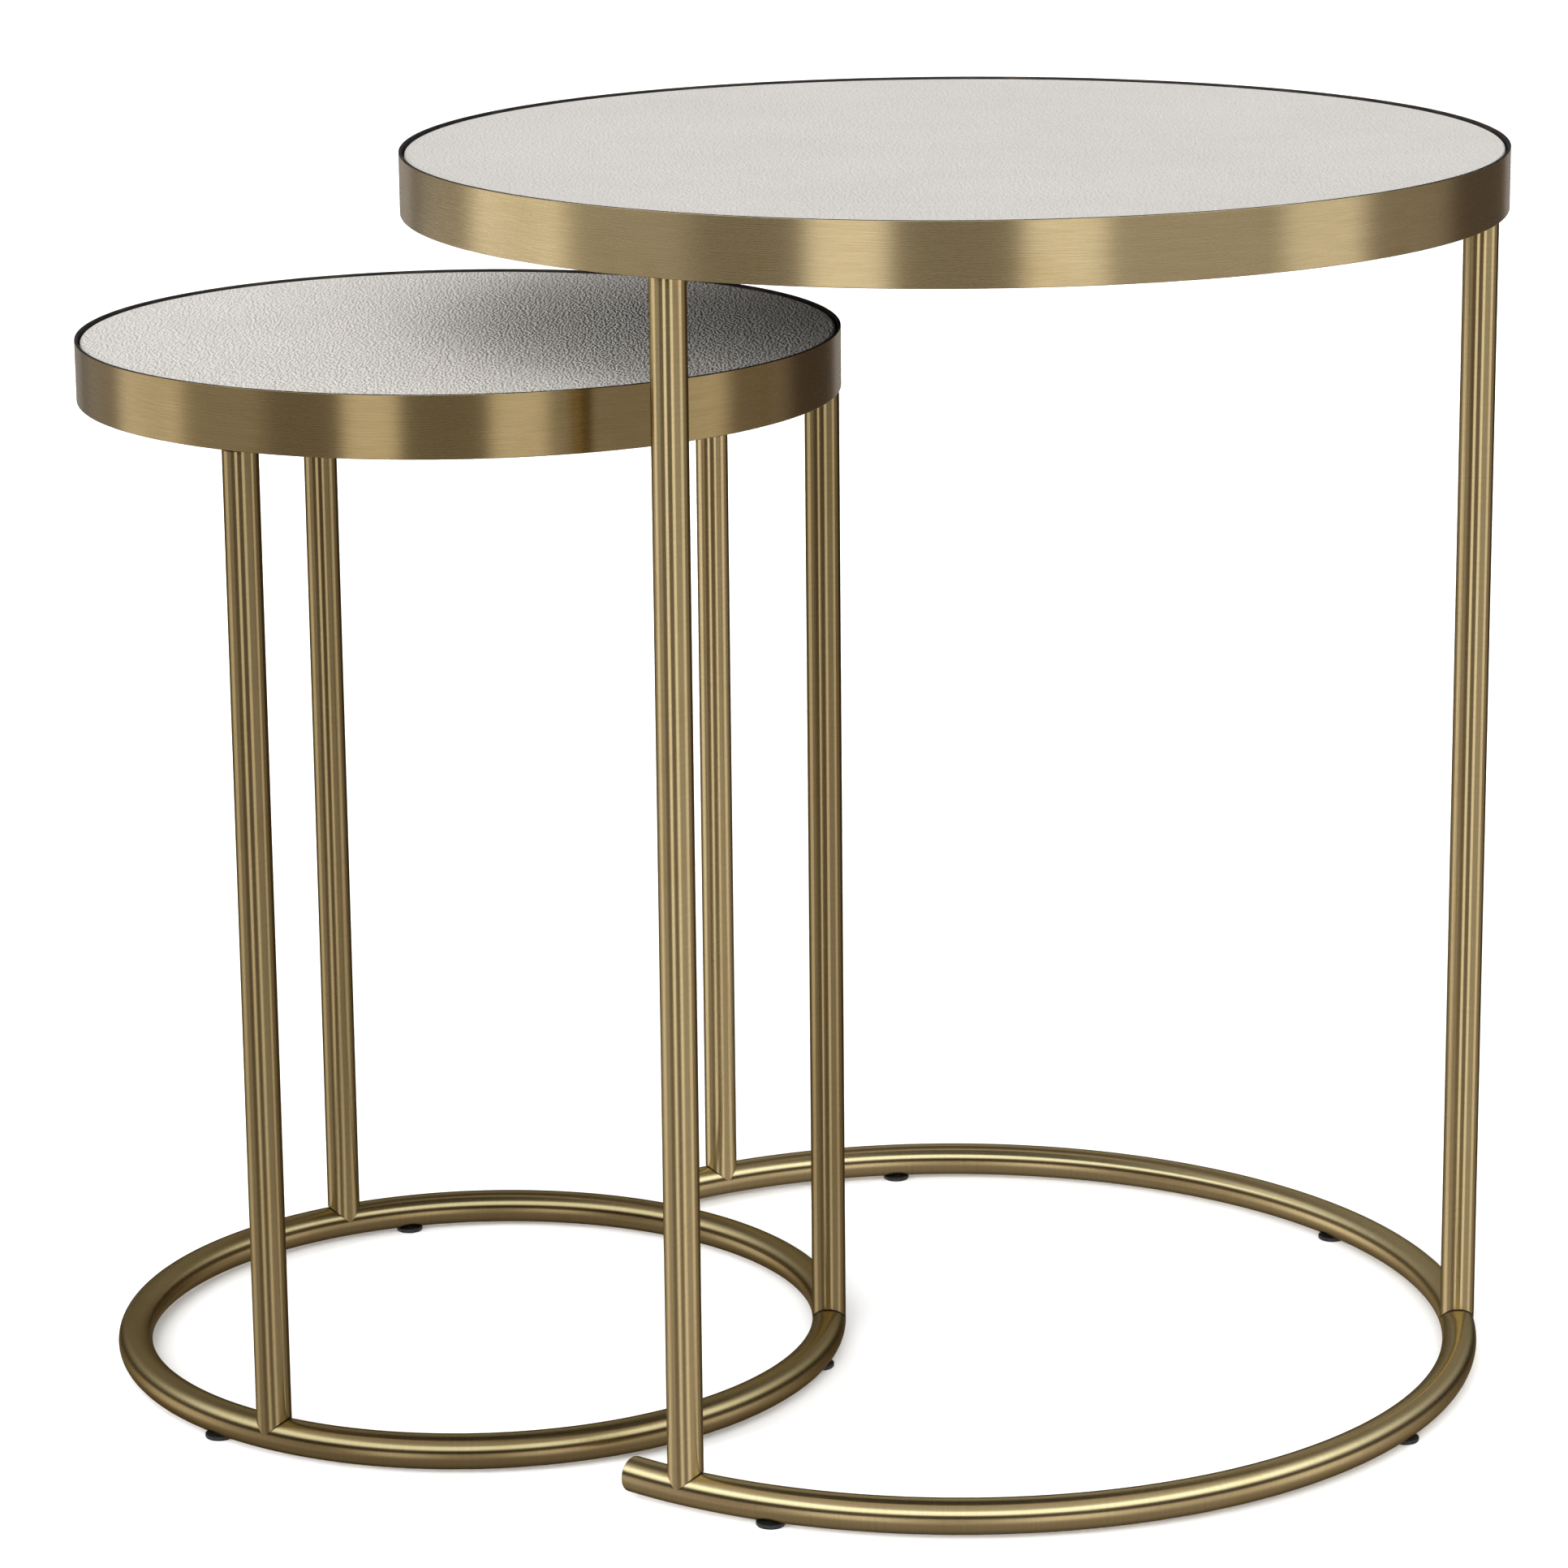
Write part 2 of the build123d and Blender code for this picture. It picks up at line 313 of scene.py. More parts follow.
BRASS_LIGHT = (0.755, 0.600, 0.340)
BRASS_DARK = (0.660, 0.522, 0.280)

# Painted shade multiplies each table's brass: the small table's brass is painted darker and yellower,
# standing for the shade it sits in under and beside the large table
BAND_PAINTED_SHADE = {"large": (1.0, 1.0, 1.0), "small": (0.68, 0.64, 0.56)}
TUBE_PAINTED_SHADE = {"large": (0.95, 0.95, 0.92), "small": (0.62, 0.60, 0.54)}

# The metal's colour at a grazing angle: the tubes are aged more and darken towards their outline
BAND_EDGE = (1.0, 1.0, 1.0, 1)
TUBE_EDGE = (0.30, 0.24, 0.17, 1)

# Length and width of a brush line, and the lowest and highest roughness
BAND_STREAK = (14 * MM, 0.38 * MM)
BAND_ROUGHNESS = (0.26, 0.29)
TUBE_STREAK = (110 * MM, 0.35 * MM)
TUBE_ROUGHNESS = (0.20, 0.26)

# Anisotropic rotation that spreads the gloss across the brush lines, which run along U, and how
# far the broad and the fine lines each turn it
ACROSS = 0.25
WAVER = 0.002


def brush_space(tree, radius):
    """The brush UV map rolled round a cylinder of this radius, in metres, where U has no seam."""
    uv = add(tree, "ShaderNodeUVMap", uv_map="brush").outputs["UV"]
    split = add(tree, "ShaderNodeSeparateXYZ", {"Vector": uv}).outputs
    around = calc(tree, "MULTIPLY", split["X"], 2 * pi)
    x = calc(tree, "MULTIPLY", calc(tree, "COSINE", around), radius)
    y = calc(tree, "MULTIPLY", calc(tree, "SINE", around), radius)
    return add(tree, "ShaderNodeCombineXYZ", {"X": x, "Y": y, "Z": split["Y"]}).outputs["Vector"]


def brass_colour(tree, place, fine, broad, painted_shade):
    """Brass that is darker in the brush lines, unevenly worn, stained in places, and darkened by the
    table's painted shade.
    """
    patina = noise(tree, place, 30.0, 4.0, 0.6)
    # The table's painted shade darkens both brass colours
    light = [channel * share for channel, share in zip(BRASS_LIGHT, painted_shade)]
    dark = [channel * share for channel, share in zip(BRASS_DARK, painted_shade)]
    colour = mix(tree, remap(tree, fine, 0.3, 0.7, kind="LINEAR"), (*dark, 1), (*light, 1))
    worn = mix(tree, remap(tree, broad, 0.35, 0.65), (0.98, 0.978, 0.97, 1), (1.02, 1.02, 1.015, 1))
    colour = mix(tree, 1.0, colour, worn, "MULTIPLY")
    stain = mix(tree, remap(tree, patina, 0.5, 0.8), (1, 1, 1, 1), (0.93, 0.90, 0.84, 1))
    return mix(tree, 1.0, colour, stain, "MULTIPLY")


def brushed_brass(name, radius, streak, roughness, painted_shade, edge):
    """Antique brass, brushed along U round a surface of this radius.

    streak is the length and width of a brush line, roughness the lowest and highest, the painted
    shade multiplies the colour, and edge is the colour at a grazing angle.
    """
    material, tree, shader = new_material(name)
    place = brush_space(tree, radius)
    along, across = (1 / size for size in streak)
    lowest, highest = roughness
    fine = noise(tree, stretched(tree, place, (along, along, across)), 1.0, 4.0, 0.7)
    broad = noise(tree, stretched(tree, place, (along / 2, along / 2, across / 5)), 1.0, 2.0)
    sway = remap(tree, broad, 0.3, 0.7, ACROSS - WAVER, ACROSS + WAVER, "LINEAR")
    turn = calc(tree, "ADD", sway, remap(tree, fine, 0.3, 0.7, -WAVER, WAVER, "LINEAR"))
    tangent = add(tree, "ShaderNodeTangent", direction_type="UV_MAP", uv_map="brush")

    shader.inputs["Metallic"].default_value = 1.0
    shader.inputs["Anisotropic"].default_value = 0.96
    shader.inputs["Specular Tint"].default_value = edge
    shader.inputs["Coat Weight"].default_value = 0.08
    shader.inputs["Coat Roughness"].default_value = 0.18
    join(
        tree,
        shader,
        Base_Color=brass_colour(tree, place, fine, broad, painted_shade),
        Roughness=remap(tree, fine, 0.3, 0.7, highest, lowest, "LINEAR"),
        Normal=bumped(tree, fine, 0.02 * MM),
        Anisotropic_Rotation=turn,
        Tangent=tangent.outputs[0],
    )
    return material


def painted_gap_shadow(name):
    """The band's top edge and inner face, dull and almost black with traces of brass: painted shadow of
    the gap by the leather, partly a dirty, unplated inner face.
    """
    material, tree, shader = new_material(name)
    black = (0.012, 0.011, 0.010, 1)
    brown = (0.06, 0.045, 0.028, 1)
    trace = noise(tree, stretched(tree, piece_space(tree), (60, 60, 1500)), 1.0, 4.0, 0.6)
    shader.inputs["Specular IOR Level"].default_value = 0.2
    join(
        tree,
        shader,
        Base_Color=mix(tree, remap(tree, trace, 0.45, 0.8), black, brown),
        Roughness=remap(tree, trace, 0.3, 0.7, 0.7, 0.9, "LINEAR"),
        Normal=bumped(tree, trace, 0.03 * MM),
    )
    return material


def seam_patina(name):
    """The fine chamfer at a leg's ends, where the brass has gone brown and almost black."""
    material, tree, shader = new_material(name)
    black = (0.02, 0.014, 0.008, 1)
    brown = (0.12, 0.08, 0.04, 1)
    soot = noise(tree, piece_space(tree), 500.0, 4.0, 0.6)
    shader.inputs["Metallic"].default_value = 0.6
    join(
        tree,
        shader,
        Base_Color=mix(tree, remap(tree, soot, 0.4, 0.8), black, brown),
        Roughness=remap(tree, soot, 0.3, 0.7, 0.5, 0.8, "LINEAR"),
        Normal=bumped(tree, soot, 0.03 * MM),
    )
    return material


# Grain depth and painted shade of each panel: the small one has a deeper grain, and painted shade makes
# the large one's colour a little darker
LEATHER_GRAIN = {"large": 0.2 * MM, "small": 0.45 * MM}
LEATHER_PAINTED_SHADE = {"large": 0.92, "small": 1.0}

# The grain: pebbles per metre across the hide, the scale that draws them out along it, which is
# along Y, how far their outlines wander, in metres, and the soft swelling's share of the relief
PEBBLES = 640.0
PEBBLE_STRETCH = (1.0, 0.36, 1.0)
PEBBLE_WANDER = 0.0022
SWELLING = 1.2


def pebble_grain(tree, hide):
    """Height of the grain's domed pebbles, from 0 in the grooves to 1."""
    wander = add(tree, "ShaderNodeTexNoise", {"Vector": hide, "Scale": 300.0, "Detail": 2.0})
    bent = mix(tree, PEBBLE_WANDER, hide, wander.outputs["Color"], "ADD")
    inputs = {"Vector": bent, "Scale": PEBBLES, "Randomness": 1.0, "Smoothness": 0.35}
    settings = {"feature": "SMOOTH_F1", "voronoi_dimensions": "2D"}
    pebble = add(tree, "ShaderNodeTexVoronoi", inputs, **settings).outputs["Distance"]
    return remap(tree, pebble, 0.05, 0.65, 1.0, 0.0)


def leather(name, depth, shade):
    """Pale greige leather with a grain of soft pebbles, longer along the hide, and faint drag marks.

    depth is the grain's, in metres, and shade is the painted shade that multiplies the colour.
    """
    material, tree, shader = new_material(name)
    light = (0.442, 0.424, 0.401, 1)
    dark = (0.422, 0.403, 0.379, 1)
    groove = (0.34, 0.32, 0.295, 1)
    rubbed = (0.51, 0.49, 0.467, 1)
    place = piece_space(tree)
    hide = stretched(tree, place, PEBBLE_STRETCH)
    grain = pebble_grain(tree, hide)
    soft = noise(tree, hide, 560.0, 2.0, 0.5)
    cloud = noise(tree, place, 12.0, 4.0, 0.6)
    drag = noise(tree, stretched(tree, place, (18, 260, 1)), 1.0, 3.0)

    colour = mix(tree, remap(tree, cloud, 0.3, 0.7), dark, light)
    colour = mix(tree, remap(tree, grain, 0.0, 0.6, 0.22, 0.0), colour, groove)
    colour = mix(tree, remap(tree, drag, 0.55, 0.75, 0.0, 0.25), colour, rubbed)
    # Painted shade: the panel's share darkens the whole colour
    colour = mix(tree, 1.0, colour, (shade, shade, shade, 1), "MULTIPLY")
    height = calc(tree, "ADD", grain, calc(tree, "MULTIPLY", soft, SWELLING))
    shader.inputs["Specular IOR Level"].default_value = 0.35
    shader.inputs["Sheen Weight"].default_value = 0.05
    join(
        tree,
        shader,
        Base_Color=colour,
        Roughness=remap(tree, soft, 0.3, 0.7, 0.5, 0.68, "LINEAR"),
        Normal=bumped(tree, height, depth, strength=1.0),
    )
    return material


def fibreboard(name):
    """Black-faced fibreboard: pressed fibres, dull, with paler specks."""
    material, tree, shader = new_material(name)
    black = (0.018, 0.017, 0.016, 1)
    speck = (0.05, 0.046, 0.042, 1)
    worn = (0.035, 0.031, 0.028, 1)
    place = piece_space(tree)
    fibre = noise(tree, stretched(tree, place, (420, 160, 420)), 1.0, 5.0, 0.7)
    patch = noise(tree, place, 14.0, 3.0)
    colour = mix(tree, remap(tree, fibre, 0.35, 0.75), black, speck)
    join(
        tree,
        shader,
        Base_Color=mix(tree, remap(tree, patch, 0.4, 0.8, 0.0, 0.4), colour, worn),
        Roughness=remap(tree, fibre, 0.3, 0.7, 0.62, 0.85, "LINEAR"),
        Normal=bumped(tree, fibre, 0.1 * MM, strength=0.5),
    )
    return material


def zinc(name):
    """Zinc-plated steel: a pale metal with cloudy plating and fine scratches."""
    material, tree, shader = new_material(name)
    bluish = (0.50, 0.51, 0.53, 1)
    pale = (0.66, 0.66, 0.64, 1)
    place = piece_space(tree)
    cloud = noise(tree, place, 350.0, 4.0, 0.6)
    scratch = noise(tree, stretched(tree, place, (300, 2500, 2500)), 1.0, 3.0)
    shader.inputs["Metallic"].default_value = 1.0
    join(
        tree,
        shader,
        Base_Color=mix(tree, remap(tree, cloud, 0.3, 0.7), bluish, pale),
        Roughness=remap(tree, scratch, 0.3, 0.7, 0.3, 0.48, "LINEAR"),
        Normal=bumped(tree, scratch, 0.02 * MM),
    )
    return material


def nylon(name):
    """Black moulded nylon with a fine spark-eroded texture and scuffs."""
    material, tree, shader = new_material(name)
    black = (0.012, 0.012, 0.013, 1)
    grey = (0.04, 0.039, 0.038, 1)
    place = piece_space(tree)
    texture = noise(tree, place, 2600.0, 3.0, 0.6)
    scuff = noise(tree, place, 240.0, 4.0, 0.65)
    join(
        tree,
        shader,
        Base_Color=mix(tree, remap(tree, scuff, 0.55, 0.8), black, grey),
        Roughness=remap(tree, scuff, 0.3, 0.7, 0.42, 0.6, "LINEAR"),
        Normal=bumped(tree, texture, 0.05 * MM, strength=0.4),
    )
    return material


def pale_floor(name):
    """Matt near-white studio floor with a barely visible mottle."""
    material, tree, shader = new_material(name)
    mottle = noise(tree, piece_space(tree), 3.0, 4.0)
    colour = mix(tree, mottle, (0.93, 0.93, 0.93, 1), (0.95, 0.95, 0.95, 1))
    shader.inputs["Roughness"].default_value = 0.9
    shader.inputs["Specular IOR Level"].default_value = 0.1
    join(tree, shader, Base_Color=colour)
    return material


# ---------------------------------------------------------------- pieces


def second_material(piece, material, inside):
    """Gives material to the faces whose middle, in the piece's own space, passes the test."""
    piece.data.materials.append(material)
    for polygon in piece.data.polygons:
        reach = Vector(polygon.center[:2]).length
        if inside(reach, polygon.center.z):
            polygon.material_index = 1


def make_rim(table, material, gap_material):
    """Band and flange as one ring of L section, with painted shadow on the top edge and the inner face.
    """
    outer = table.top_radius
    inner = outer - table.rim_wall
    flange_inner = outer - FLANGE_WIDTH
    flange_top = table.rim_bottom + table.rim_wall
    outline = rounded(
        [
            (outer, table.rim_bottom),
            (outer, table.rim_top),
            (inner, table.rim_top),
            (inner, flange_top),
            (flange_inner, flange_top),
            (flange_inner, table.rim_bottom),
        ],
        [RIM_EDGE, RIM_EDGE, RIM_EDGE, 0, RIM_EDGE / 2, RIM_EDGE / 2],
    )
    name = f"{table.name}_band_and_flange"
    shape = lathe(lambda angle: outline, TOP_STEPS)
    place = Matrix.Translation((table.axis_x, 0, 0))
    rim = new_piece(name, *shape, place, table, f"{table.name}_rim", "antique_brass", material)

    def in_painted_gap_shadow(reach, z):
        """Whether a face is on the top edge or the inner face."""
        return reach < outer - RIM_EDGE / 3 and z > flange_top + RIM_EDGE

    # The top edge and inner face get the painted shadow of the gap by the leather
    second_material(rim, gap_material, in_painted_gap_shadow)


def make_base_ring(table, material):
    """Bent tube, all the way round or open at the left."""
    radii = (table.tube_radius, table.tube_radius - TUBE_WALL)
    shape = bent_tube(table.ring_radius, radii, table.tube_end)
    place = Matrix.Translation((table.axis_x, 0, table.ring_z))
    name = f"{table.name}_ring_tube"
    new_piece(name, *shape, place, table, f"{table.name}_base_ring", "antique_brass", material)


def make_leg(table, side, material, seam_material):
    """Upright tube, cut at the bottom to sit over the base ring, with a fine dark seam at both ends."""
    angle = radians(LEG_ANGLES[side])
    foot = table.on_ring(angle)
    outer, bore = table.tube_radius, table.tube_radius - TUBE_WALL
    rows = round((table.rim_bottom - table.leg_bottom) / LEG_ROW)

    def cut(radius, around):
        """Height of the base ring's surface under a point of the tube wall."""
        point = Vector((table.ring_radius + radius * cos(around), radius * sin(around)))
        across = min(abs(point.length - table.ring_radius), table.tube_radius)
        rise = sqrt((table.tube_radius + COPE_GAP) ** 2 - across**2)
        return max(table.leg_bottom, table.ring_z + rise)

    def outline_at(around):
        low, low_bore = cut(outer - SEAM, around), cut(bore, around)
        side_low = cut(outer, around) + SEAM
        side_high = table.rim_bottom - SEAM
        rise = (side_high - side_low) / rows
        wall = [(outer, side_low + rise * row) for row in range(rows + 1)]
        return [
            (bore, low_bore),
            (outer - SEAM, low),
            *wall,
            (outer - SEAM, table.rim_bottom),
            (bore, table.rim_bottom),
        ]

    name = f"{table.name}_leg_tube_{side}"
    place = Matrix.Translation(foot) @ Matrix.Rotation(angle, 4, "Z")
    node = f"{table.name}_leg_{side}"
    shape = lathe(outline_at, TUBE_STEPS)
    leg = new_piece(name, *shape, place, table, node, "antique_brass", material)

    def chamfered(reach, z):
        """Whether a face is on the fine chamfer at either end."""
        return outer - SEAM < reach < outer - SEAM / 4

    second_material(leg, seam_material, chamfered)


def make_ring_cap(table, side, turn, material):
    """End cap: a disc with a rounded edge and a spigot inside the tube."""
    outline = rounded(
        [
            (0, -CAP_SPIGOT_LENGTH),
            (CAP_SPIGOT_RADIUS, -CAP_SPIGOT_LENGTH),
            (CAP_SPIGOT_RADIUS, 0),
            (table.tube_radius, 0),
            (table.tube_radius, CAP_THICKNESS),
            (0, CAP_THICKNESS),
        ],
        [0, 0, 0, 0, CAP_EDGE, 0],
    )
    angle = turn * table.tube_end
    end = table.on_ring(angle, table.ring_z)
    along_ring = Vector((-turn * sin(angle), turn * cos(angle), 0))
    place = Matrix.Translation(end) @ along_ring.to_track_quat("Z", "Y").to_matrix().to_4x4()
    name = f"{table.name}_end_cap_{side}"
    node = f"{table.name}_ring_cap_{side}"
    shape = lathe(lambda around: outline, TUBE_STEPS)
    new_piece(name, *shape, place, table, node, "antique_brass", material)


def make_leather_panel(table, material):
    """Leather over the board: the top, its rounded edge and the skirt, one thickness all over."""
    inner = table.inlay_radius - LEATHER
    under = table.inlay_top - LEATHER
    outline = rounded(
        [
            (0, under),
            (inner, under),
            (inner, table.inlay_bottom),
            (table.inlay_radius, table.inlay_bottom),
            (table.inlay_radius, table.inlay_top),
            (0, table.inlay_top),
        ],
        [0, 0, 0, 0, LEATHER_ROUND, 0],
    )
    name = f"{table.name}_leather_panel"
    shape = lathe(lambda angle: outline, TOP_STEPS)
    place = Matrix.Translation((table.axis_x, 0, 0))
    new_piece(name, *shape, place, table, f"{table.name}_leather_inlay", "leather", material)


def make_glide(table, node, material):
    """Pad with a domed rim, and the stem in the ring."""
    low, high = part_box(node)
    middle = (low + high) / 2
    radius = (high.x - low.x) / 2
    pad_top = table.ring_z - table.tube_radius
    outline = rounded(
        [
            (0, 0),
            (radius, 0),
            (radius, pad_top),
            (GLIDE_STEM_RADIUS, pad_top),
            (GLIDE_STEM_RADIUS, high.z),
            (0, high.z),
        ],
        [0, GLIDE_EDGE, GLIDE_EDGE / 3, 0, GLIDE_EDGE / 2, 0],
    )
    name = node.replace("glide", "glide_pad")
    place = Matrix.Translation((middle.x, middle.y, 0))
    shape = lathe(lambda angle: outline, SMALL_STEPS)
    new_piece(name, *shape, place, table, node, "black_nylon", material)


def paint(node, material):
    """Gives a CAD node that stays in the picture its material."""
    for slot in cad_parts[node].material_slots:
        slot.material = material


def make_table(table):
    """All pieces and materials of one table. Returns its tubes' brass, for the ring caps."""
    tube_brass = brushed_brass(
        f"{table.name}_tube_brass",
        table.tube_radius,
        streak=TUBE_STREAK,
        roughness=TUBE_ROUGHNESS,
        painted_shade=TUBE_PAINTED_SHADE[table.name],
        edge=TUBE_EDGE,
    )
    band_brass = brushed_brass(
        f"{table.name}_band_brass",
        table.top_radius,
        streak=BAND_STREAK,
        roughness=BAND_ROUGHNESS,
        painted_shade=BAND_PAINTED_SHADE[table.name],
        edge=BAND_EDGE,
    )
    make_rim(table, band_brass, painted_gap_shadow(f"{table.name}_shadow_gap"))
    make_base_ring(table, tube_brass)
    seam = seam_patina(f"{table.name}_seam_patina")
    for side in LEG_ANGLES:
        make_leg(table, side, tube_brass, seam)
    grain, shade = LEATHER_GRAIN[table.name], LEATHER_PAINTED_SHADE[table.name]
    hide = leather(f"{table.name}_leather_greige", grain, shade)
    make_leather_panel(table, hide)
    black_nylon = nylon(f"{table.name}_glide_nylon")
    for node in table.glides:
        make_glide(table, node, black_nylon)
    paint(f"{table.name}_core_board", fibreboard(f"{table.name}_fibreboard"))
    plated = zinc(f"{table.name}_zinc_plate")
    for hardware in ("leg_inserts", "leg_washers", "leg_bolts", "panel_screws"):
        paint(f"{table.name}_{hardware}", plated)
    return tube_brass


large_tube_brass = make_table(large)
make_table(small)
for side, turn in (("front", -1), ("back", 1)):
    make_ring_cap(large, side, turn, large_tube_brass)


# ---------------------------------------------------------------- studio

# Light for matt surfaces: a white sky, which fades from an elevation in degrees down to a small
# share at the horizon, and a broad lamp in front, which reaches to the angle with this cosine
SKY_POWER = 1.05
SKY_FADE = 35
HORIZON_SHARE = 0.03
LAMP_TOWARDS = (-0.06, -0.87, 0.43)
LAMP_POWER = 8.6
LAMP_REACH = 0.82

# A low sun at the front left, whose raking light shows up the grain of the leather
LOW_LAMP_TOWARDS = (-0.80, -0.45, 0.31)
LOW_LAMP_POWER = 2.4
LOW_LAMP_ANGLE = radians(20)

# The white behind the tables, as the camera sees it, and the side of the square floor, in metres
BACKDROP = 1.2
FLOOR_SIZE = 60.0

# What the brass mirrors: soft upright panels round the tables, as (azimuth, half width, edge
# softness) in degrees and a radiance. Azimuth 0 is in front of the tables, and 90 is at +X.
# Towards the floor the panels' contrast is lost in their mean.
PANELS = (
    (-128, 17, 22, 0.27),
    (-101, 15, 10, 0.94),
    (-73, 18, 9, 0.29),
    (-21.5, 8.4, 3, 1.33),
    (22.3, 8.6, 3, 1.28),
    (49, 17, 4, 0.34),
    (80, 11, 9, 0.92),
    (104, 17, 12, 0.17),
    (-160, 10, 6, 0.25),
    (168, 10, 6, 0.25),
)
PANEL_MEAN = 0.38

# Three long lights above, as (middle, half width, edge softness) in degrees: the bar by elevation,
# the others by the angle over the tables, from 0 in front through 90 overhead to 180 behind
BAR = (37, 12, 12)
BAR_LIGHT = (1.5, 1.75, 1.95, 1)
CEILING = (77, 26, 12)
CEILING_POWER = 0.26
BACK_BAR = (158, 9, 8)
BACK_BAR_POWER = 0.30

# The warm glow of the room, and the darker stretch of it at the horizon
AMBIENT = (0.138, 0.106, 0.084, 1)
HORIZON = (8, 9, 8)
HORIZON_SHADE = 0.8

# How these change across the studio, as (start, end, value at the start, value at the end):
# by elevation, in degrees
PANEL_FOOT = (-45, -12, 0.35, 1.0)
PANEL_TOP = (-3, 6, 1.0, 0.1)
PANEL_CONTRAST = (-32, -17, 0.15, 1.0)
GLOW_BELOW = (-110, -40, 0.3, 1.0)
# by the angle from the front in plan, in degrees
BAR_BEHIND = (80, 135, 1.0, 0.12)
GLOW_BEHIND = (115, 130, 1.0, 0.65)
# by the share of the direction that is along X
CEILING_ASIDE = (0.55, 0.95, 1.0, 0.1)


def window(tree, value, middle, half, soft):
    """1 inside middle +- half, falling to 0 over the softness at both sides."""
    rise = remap(tree, value, middle - half - soft / 2, middle - half + soft / 2)
    fall = remap(tree, value, middle + half - soft / 2, middle + half + soft / 2, 1.0, 0.0)
    return calc(tree, "MULTIPLY", rise, fall)


def mirrored_panels(tree, azimuth, elevation):
    """The upright panels, which lose contrast towards the floor."""
    panels = 0.0
    for *place, radiance in PANELS:
        panels = calc(tree, "MULTIPLY_ADD", window(tree, azimuth, *place), radiance, panels)
    contrast = remap(tree, elevation, *PANEL_CONTRAST)
    uneven = calc(tree, "SUBTRACT", panels, PANEL_MEAN)
    panels = calc(tree, "MULTIPLY_ADD", uneven, contrast, PANEL_MEAN)
    panels = calc(tree, "MULTIPLY", panels, remap(tree, elevation, *PANEL_FOOT))
    return calc(tree, "MULTIPLY", panels, remap(tree, elevation, *PANEL_TOP))


def overhead_lights(tree, split, front):
    """The ceiling and the bar at the back, which fade to the left and right."""
    over = calc(tree, "DEGREES", calc(tree, "ARCTAN2", split["Z"], front))
    ceiling = calc(tree, "MULTIPLY", window(tree, over, *CEILING), CEILING_POWER)
    back_bar = calc(tree, "MULTIPLY", window(tree, over, *BACK_BAR), BACK_BAR_POWER)
    aside = remap(tree, calc(tree, "ABSOLUTE", split["X"]), *CEILING_ASIDE)
    return calc(tree, "MULTIPLY", calc(tree, "ADD", ceiling, back_bar), aside)


def room_glow(tree, elevation, from_front):
    """Warm ambient light, darker below, behind and at the horizon."""
    behind = remap(tree, from_front, *GLOW_BEHIND)
    low_part = calc(tree, "MULTIPLY", remap(tree, elevation, *GLOW_BELOW), behind)
    horizon = window(tree, elevation, *HORIZON)
    shade = calc(tree, "MULTIPLY", low_part, calc(tree, "MULTIPLY_ADD", horizon, -HORIZON_SHADE, 1.0))
    return mix(tree, shade, (0, 0, 0, 1), AMBIENT)


def mirrored_studio(tree, split, elevation):
    """The colour that glossy rays meet in each direction."""
    front = calc(tree, "MULTIPLY", split["Y"], -1.0)
    azimuth = calc(tree, "DEGREES", calc(tree, "ARCTAN2", split["X"], front))
    from_front = calc(tree, "ABSOLUTE", azimuth)
    panels = mirrored_panels(tree, azimuth, elevation)
    lights = calc(tree, "ADD", overhead_lights(tree, split, front), panels)
    bar = calc(tree, "MULTIPLY", window(tree, elevation, *BAR), remap(tree, from_front, *BAR_BEHIND))
    studio = mix(tree, 1.0, room_glow(tree, elevation, from_front), lights, "ADD")
    return mix(tree, bar, studio, BAR_LIGHT, "ADD")


def even_light(tree, direction, elevation):
    """The strength of the white light that matt surfaces and the camera meet in each direction."""
    sky = remap(tree, elevation, 0, SKY_FADE, HORIZON_SHARE * SKY_POWER, SKY_POWER)
    inputs = {0: direction, 1: Vector(LAMP_TOWARDS).normalized()}
    facing = add(tree, "ShaderNodeVectorMath", inputs, operation="DOT_PRODUCT").outputs["Value"]
    strength = calc(tree, "ADD", sky, remap(tree, facing, LAMP_REACH, 1.0, 0.0, LAMP_POWER))
    camera_ray = add(tree, "ShaderNodeLightPath").outputs["Is Camera Ray"]
    return calc(tree, "MAXIMUM", strength, calc(tree, "MULTIPLY", camera_ray, BACKDROP))


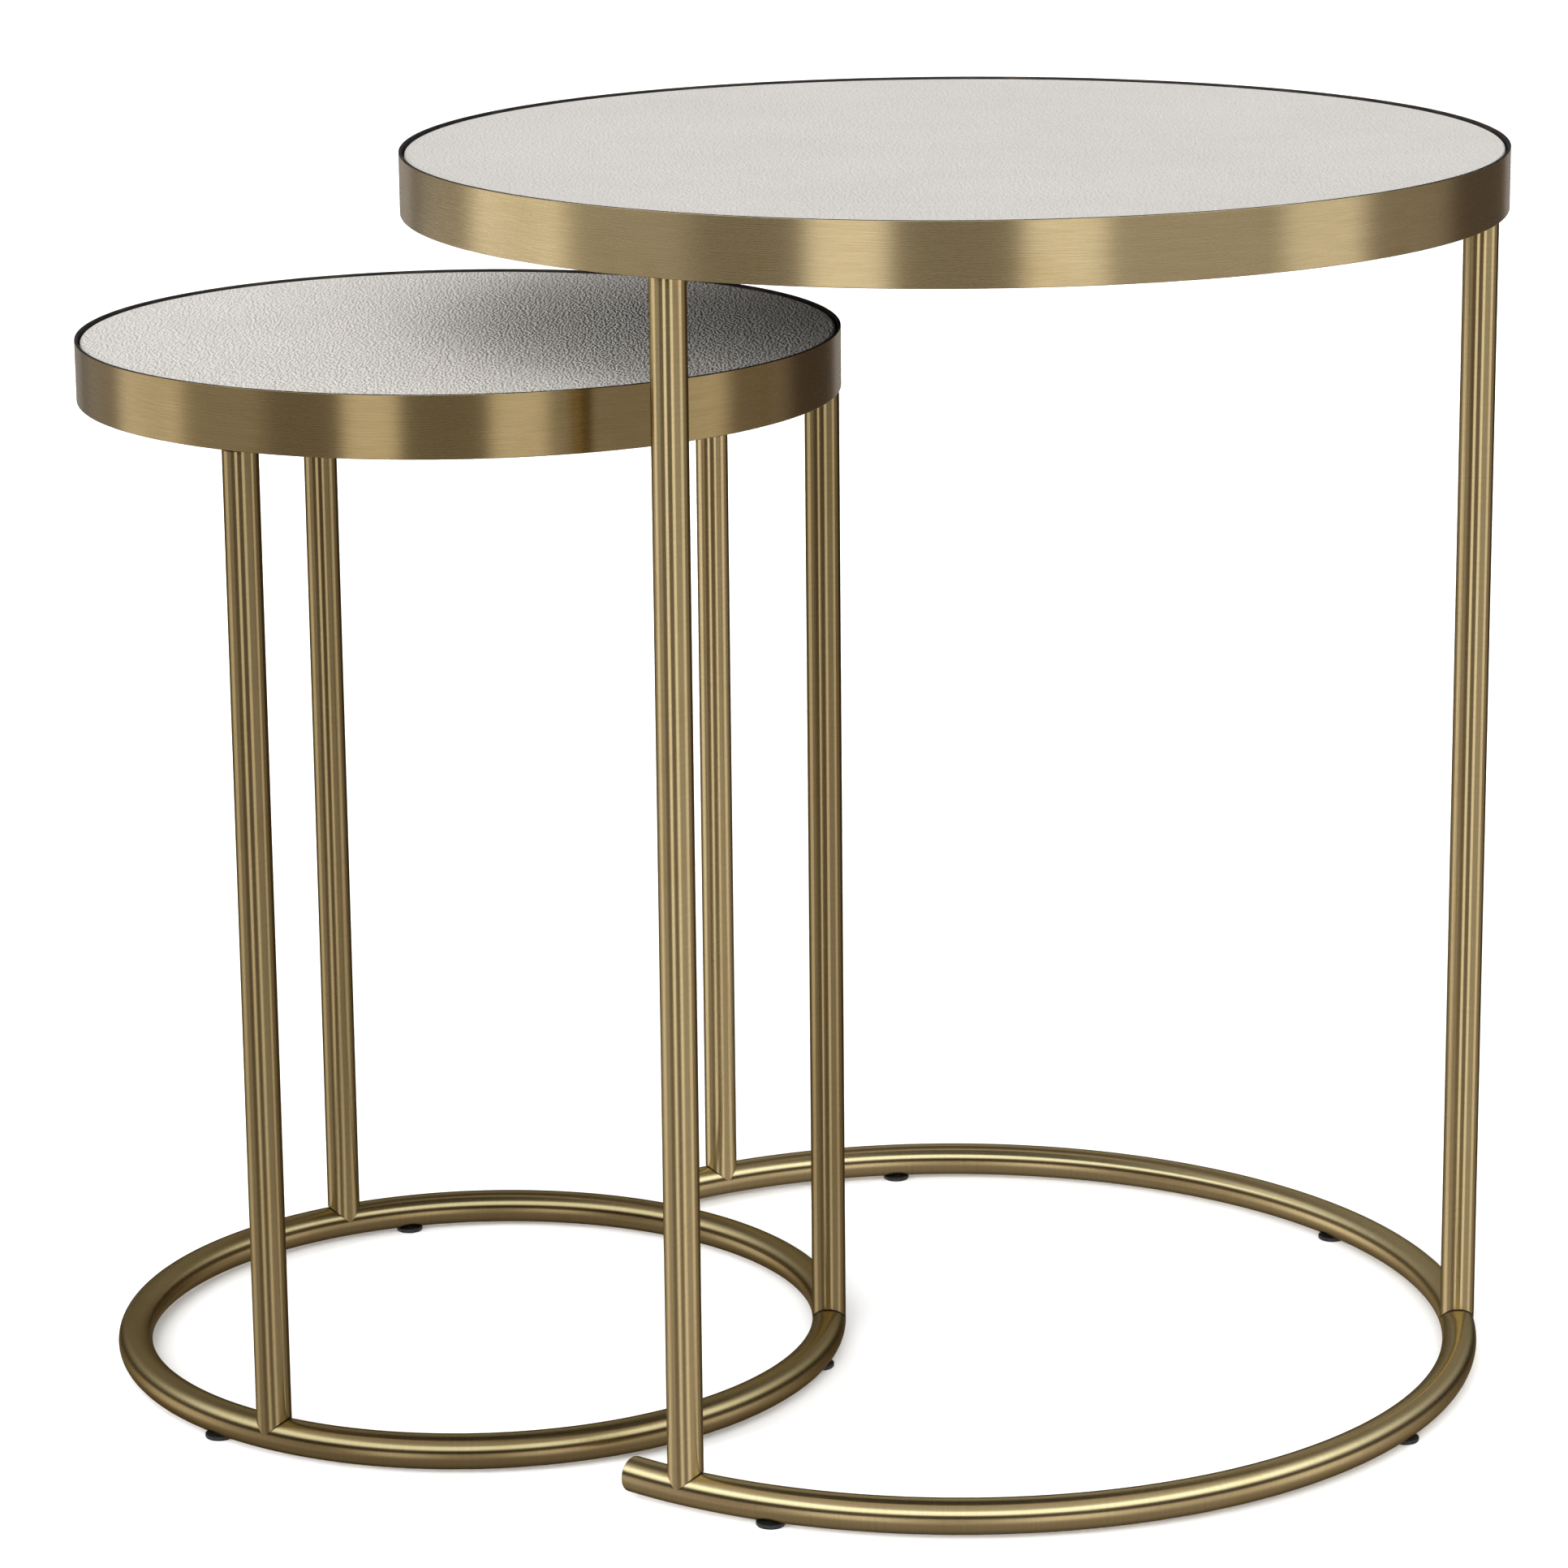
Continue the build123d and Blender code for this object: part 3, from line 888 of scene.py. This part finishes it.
def make_world():
    """Even white light for camera and diffuse rays, and a studio of soft panels for glossy rays."""
    world = bpy.data.worlds.new("studio")
    bpy.context.scene.world = world
    world.use_nodes = True
    tree = world.node_tree
    tree.nodes.clear()
    direction = add(tree, "ShaderNodeTexCoord").outputs["Generated"]
    split = add(tree, "ShaderNodeSeparateXYZ", {"Vector": direction}).outputs
    elevation = calc(tree, "DEGREES", calc(tree, "ARCSINE", split["Z"]))
    strength = even_light(tree, direction, elevation)
    even = add(tree, "ShaderNodeBackground", {"Color": (1, 1, 1, 1), "Strength": strength})
    studio = mirrored_studio(tree, split, elevation)
    mirrored = add(tree, "ShaderNodeBackground", {"Color": studio, "Strength": 1.0})
    glossy = add(tree, "ShaderNodeLightPath").outputs["Is Glossy Ray"]
    inputs = {0: glossy, 1: even.outputs[0], 2: mirrored.outputs[0]}
    choice = add(tree, "ShaderNodeMixShader", inputs)
    add(tree, "ShaderNodeOutputWorld", {"Surface": choice.outputs[0]})
    world.cycles.sampling_method = "NONE"


def make_low_lamp():
    data = bpy.data.lights.new("low_lamp", "SUN")
    data.energy = LOW_LAMP_POWER
    data.angle = LOW_LAMP_ANGLE
    lamp = bpy.data.objects.new("low_lamp", data)
    lamp.matrix_world = Vector(LOW_LAMP_TOWARDS).to_track_quat("Z", "Y").to_matrix().to_4x4()
    lamp.visible_glossy = False
    bpy.context.scene.collection.objects.link(lamp)


def make_floor():
    mesh = bpy.data.meshes.new("floor")
    half = FLOOR_SIZE / 2
    corners = [(-half, -half, 0), (half, -half, 0), (half, half, 0), (-half, half, 0)]
    mesh.from_pydata(corners, [], [(0, 1, 2, 3)])
    mesh.materials.append(pale_floor("floor_matt_white"))
    floor = bpy.data.objects.new("floor", mesh)
    bpy.context.scene.collection.objects.link(floor)
    floor.visible_glossy = False


# The viewpoint, in metres and degrees; the sensor and lens in millimetres
CAMERA_PLACE = (0.0607, -2.2937, 0.8714)
CAMERA_TURN_LEFT = 1.607
CAMERA_TILT_DOWN = 13.51
CAMERA_ROLL = 0.566
CAMERA_SENSOR = 36
CAMERA_LENS = 116.76
CAMERA_SHIFT_UP = -0.06


def make_camera():
    data = bpy.data.cameras.new("camera")
    data.sensor_width = CAMERA_SENSOR
    data.lens = CAMERA_LENS
    data.shift_y = CAMERA_SHIFT_UP
    camera = bpy.data.objects.new("camera", data)
    bpy.context.scene.collection.objects.link(camera)
    camera.matrix_world = (
        Matrix.Translation(CAMERA_PLACE)
        @ Matrix.Rotation(radians(CAMERA_TURN_LEFT), 4, "Z")
        @ Matrix.Rotation(radians(90 - CAMERA_TILT_DOWN), 4, "X")
        @ Matrix.Rotation(radians(-CAMERA_ROLL), 4, "Z")
    )
    bpy.context.scene.camera = camera


make_world()
make_low_lamp()
make_floor()
make_camera()
bpy.context.scene.view_settings.view_transform = "Standard"
